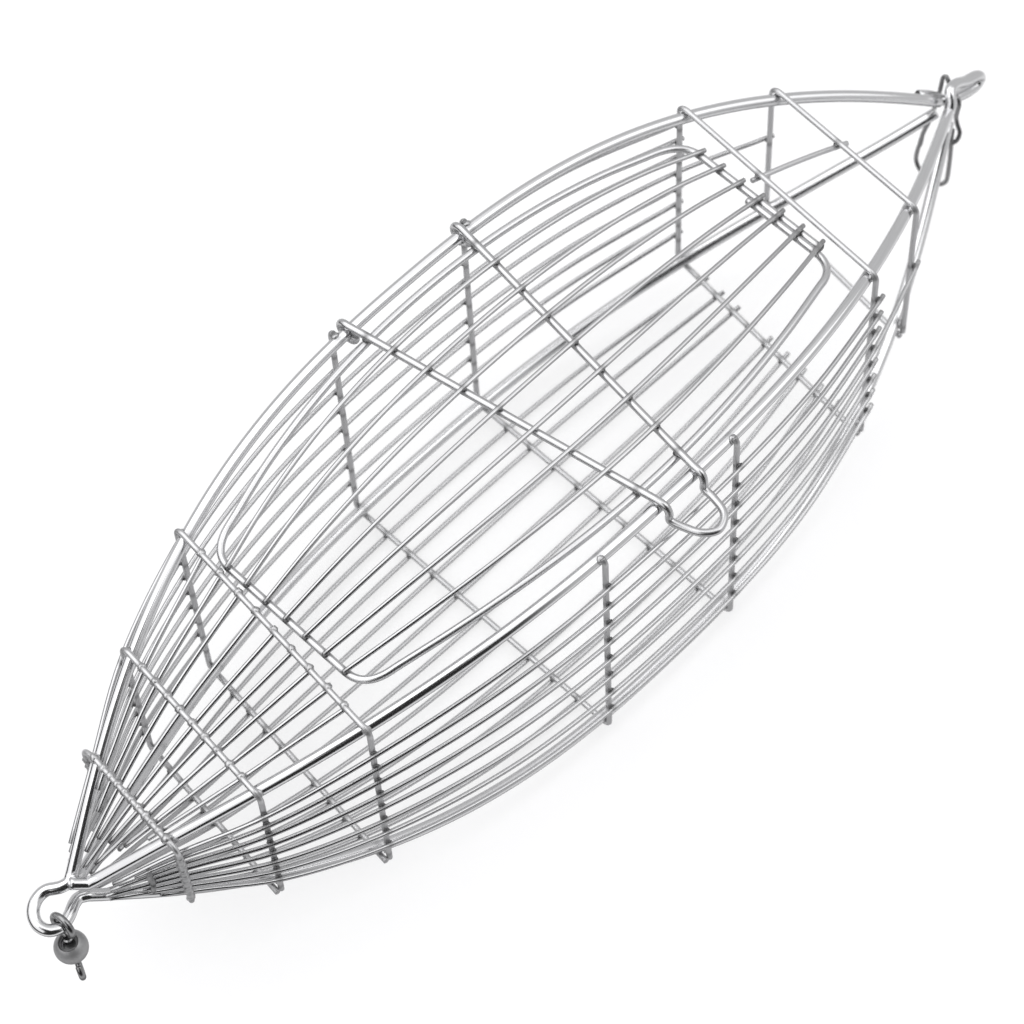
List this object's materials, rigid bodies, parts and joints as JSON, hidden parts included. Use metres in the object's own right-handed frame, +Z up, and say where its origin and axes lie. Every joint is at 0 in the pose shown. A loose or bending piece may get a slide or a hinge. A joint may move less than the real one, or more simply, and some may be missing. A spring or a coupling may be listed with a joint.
{
  "type": "bait cage",
  "caption": "Spindle-shaped wire bait cage with a hinged wire lid and latch loop, a ball-bead swivel at one nose and a wire snap at the other.",
  "frame": {"origin": "on the underside of the middle floor wire, halfway along the cage, which stands on Z = 0", "axes": "+X along the cage to the open nose with the snap, -X to the decked nose with the swivel, +Y to the lid's hinge side, -Y to its latch side, +Z up through the lid"},
  "size_m": [0.2195, 0.069, 0.0591],
  "materials": {
    "heavy_wire": "polished stainless steel",
    "rib_wire": "polished stainless steel",
    "mesh_wire": "polished stainless steel",
    "lid_frame_wire": "polished stainless steel",
    "latch_wire": "polished stainless steel",
    "swivel_wire": "darker drawn stainless steel",
    "bead": "satin stainless steel",
    "snap_wire": "darker drawn stainless steel"
  },
  "bodies": {
    "cage": {"hinge_side_rim_with_eye": "heavy_wire", "latch_side_rim_with_eye": "heavy_wire", "hinge_side_chine": "heavy_wire", "rib_1": "rib_wire", "rib_2": "rib_wire", "rib_3": "rib_wire", "rib_4": "rib_wire", "rib_5": "rib_wire", "rib_6": "rib_wire", "rib_7": "rib_wire", "hinge_wall_wire_1": "mesh_wire", "hinge_wall_wire_2": "mesh_wire", "hinge_wall_wire_3": "mesh_wire", "hinge_wall_wire_4": "mesh_wire", "hinge_wall_wire_5": "mesh_wire", "hinge_wall_wire_6": "mesh_wire", "hinge_wall_wire_7": "mesh_wire", "hinge_wall_wire_8": "mesh_wire", "latch_wall_wire_1": "mesh_wire", "latch_wall_wire_2": "mesh_wire", "latch_wall_wire_3": "mesh_wire", "latch_wall_wire_4": "mesh_wire", "latch_wall_wire_5": "mesh_wire", "latch_wall_wire_6": "mesh_wire", "latch_wall_wire_7": "mesh_wire", "latch_wall_wire_8": "mesh_wire", "floor_wire_1": "mesh_wire", "floor_wire_2": "mesh_wire", "floor_wire_3": "mesh_wire", "floor_wire_4": "mesh_wire", "floor_wire_5": "mesh_wire", "floor_wire_6": "mesh_wire", "floor_wire_7": "mesh_wire", "floor_wire_8": "mesh_wire", "floor_wire_9": "mesh_wire", "deck_wire_1": "mesh_wire", "deck_wire_2": "mesh_wire", "deck_wire_3": "mesh_wire", "deck_wire_4": "mesh_wire", "deck_wire_5": "mesh_wire", "deck_wire_6": "mesh_wire", "deck_wire_7": "mesh_wire", "deck_wire_8": "mesh_wire", "deck_wire_9": "mesh_wire", "nose_bar": "rib_wire", "nose_wall_tie": "rib_wire"},
    "lid": {"lid_frame": "lid_frame_wire", "hinge_and_latch_wire": "latch_wire", "lid_wire_1": "mesh_wire", "lid_wire_2": "mesh_wire", "lid_wire_3": "mesh_wire", "lid_wire_4": "mesh_wire", "lid_wire_5": "mesh_wire", "lid_wire_6": "mesh_wire", "lid_wire_7": "mesh_wire"},
    "swivel_head": {"swivel_upper_eye": "swivel_wire"},
    "bead": {"swivel_bead": "bead"},
    "swivel_tail": {"swivel_lower_eye": "swivel_wire"},
    "snap": {"snap_body": "snap_wire"},
    "snap_gate": {"snap_arm": "snap_wire"}
  },
  "joints": [
    {"name": "lid_hinge", "type": "hinge", "parent": "cage", "child": "lid", "pos_m": [0, 0.0283, 0.05579], "axis": [-1, 0, 0], "range_deg": [0, 160]},
    {"name": "swivel_swing", "type": "hinge", "parent": "cage", "child": "swivel_head", "pos_m": [-0.1051, -0.00278, 0.02845], "axis": [0.9835, 0.0602, -0.1706], "range_deg": [-110, 75]},
    {"name": "bead_spin", "type": "hinge", "parent": "swivel_head", "child": "bead", "pos_m": [-0.10571, -0.00437, 0.0239], "axis": [0.126, 0.3269, 0.9366], "continuous": true},
    {"name": "swivel_spin", "type": "hinge", "parent": "bead", "child": "swivel_tail", "pos_m": [-0.10571, -0.00437, 0.0239], "axis": [0.126, 0.3269, 0.9366], "continuous": true},
    {"name": "snap_swing", "type": "hinge", "parent": "cage", "child": "snap", "pos_m": [0.1027, 0.0008, 0.03003], "axis": [0, 1, 0], "range_deg": [-60, 15]},
    {"name": "snap_gate_open", "type": "hinge", "parent": "snap", "child": "snap_gate", "pos_m": [0.1003, 0.00475, 0.01487], "axis": [0.1564, 0, 0.9877], "range_deg": [0, 60]}
  ]
}
